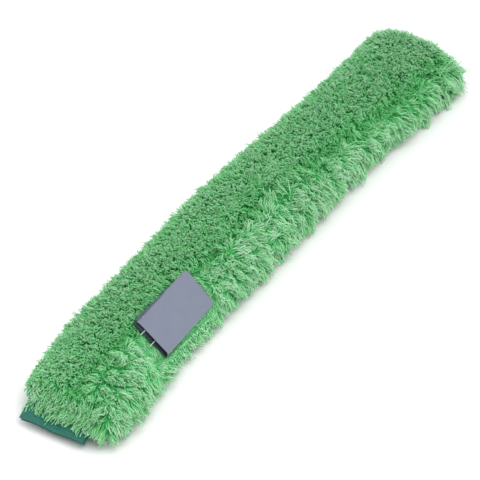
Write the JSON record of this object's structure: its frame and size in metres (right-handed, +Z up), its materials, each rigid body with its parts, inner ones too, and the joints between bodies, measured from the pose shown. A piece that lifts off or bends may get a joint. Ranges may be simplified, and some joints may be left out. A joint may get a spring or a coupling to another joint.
{
  "type": "window washer sleeve",
  "caption": "Microfibre pile sleeve for a window-washing T-bar, with a pocket for the bar, a slit for the handle, a hook-and-loop mouth at one end and a folded label in its seam.",
  "frame": {"origin": "under the middle of the sleeve, on the surface it lies on", "axes": "+X along the sleeve from the mouth to the closed end, +Y across it away from the label, +Z up"},
  "size_m": [0.468, 0.086, 0.042],
  "materials": {
    "pile": "soft microfibre pile",
    "knit": "knitted ground cloth",
    "woven": "plain woven cloth",
    "strips": "hook and loop tape",
    "thread": "sewing thread",
    "label": "satin ribbon",
    "white_thread": "sewing thread"
  },
  "bodies": {
    "sleeve": {"pile_wrap": "pile", "far_end_pile": "pile", "knit_tube": "knit", "far_end_knit": "knit", "lower_lip": "woven", "mouth_band": "woven", "slit_binding_front": "woven", "slit_binding_rear": "woven", "loop_strip": "strips", "long_seam_stitches": "thread", "slit_binding_stitches": "thread", "slit_bar_tacks": "thread", "mouth_seam_stitches": "thread", "loop_strip_stitches": "thread", "label_tail": "label"},
    "mouth_lip": {"upper_lip": "woven", "hook_strip": "strips", "hook_strip_stitches": "thread"},
    "label": {"care_label": "label", "label_thread_ends": "white_thread"}
  },
  "joints": [
    {"name": "mouth_open", "type": "hinge", "parent": "sleeve", "child": "mouth_lip", "pos_m": [-0.2178, 0.003, 0.02315], "axis": [0, 1, 0], "range_deg": [0, 75]},
    {"name": "label_turn", "type": "hinge", "parent": "sleeve", "child": "label", "pos_m": [-0.123, -0.0054, 0.04092], "axis": [-1, 0, 0], "range_deg": [0, 160]}
  ]
}
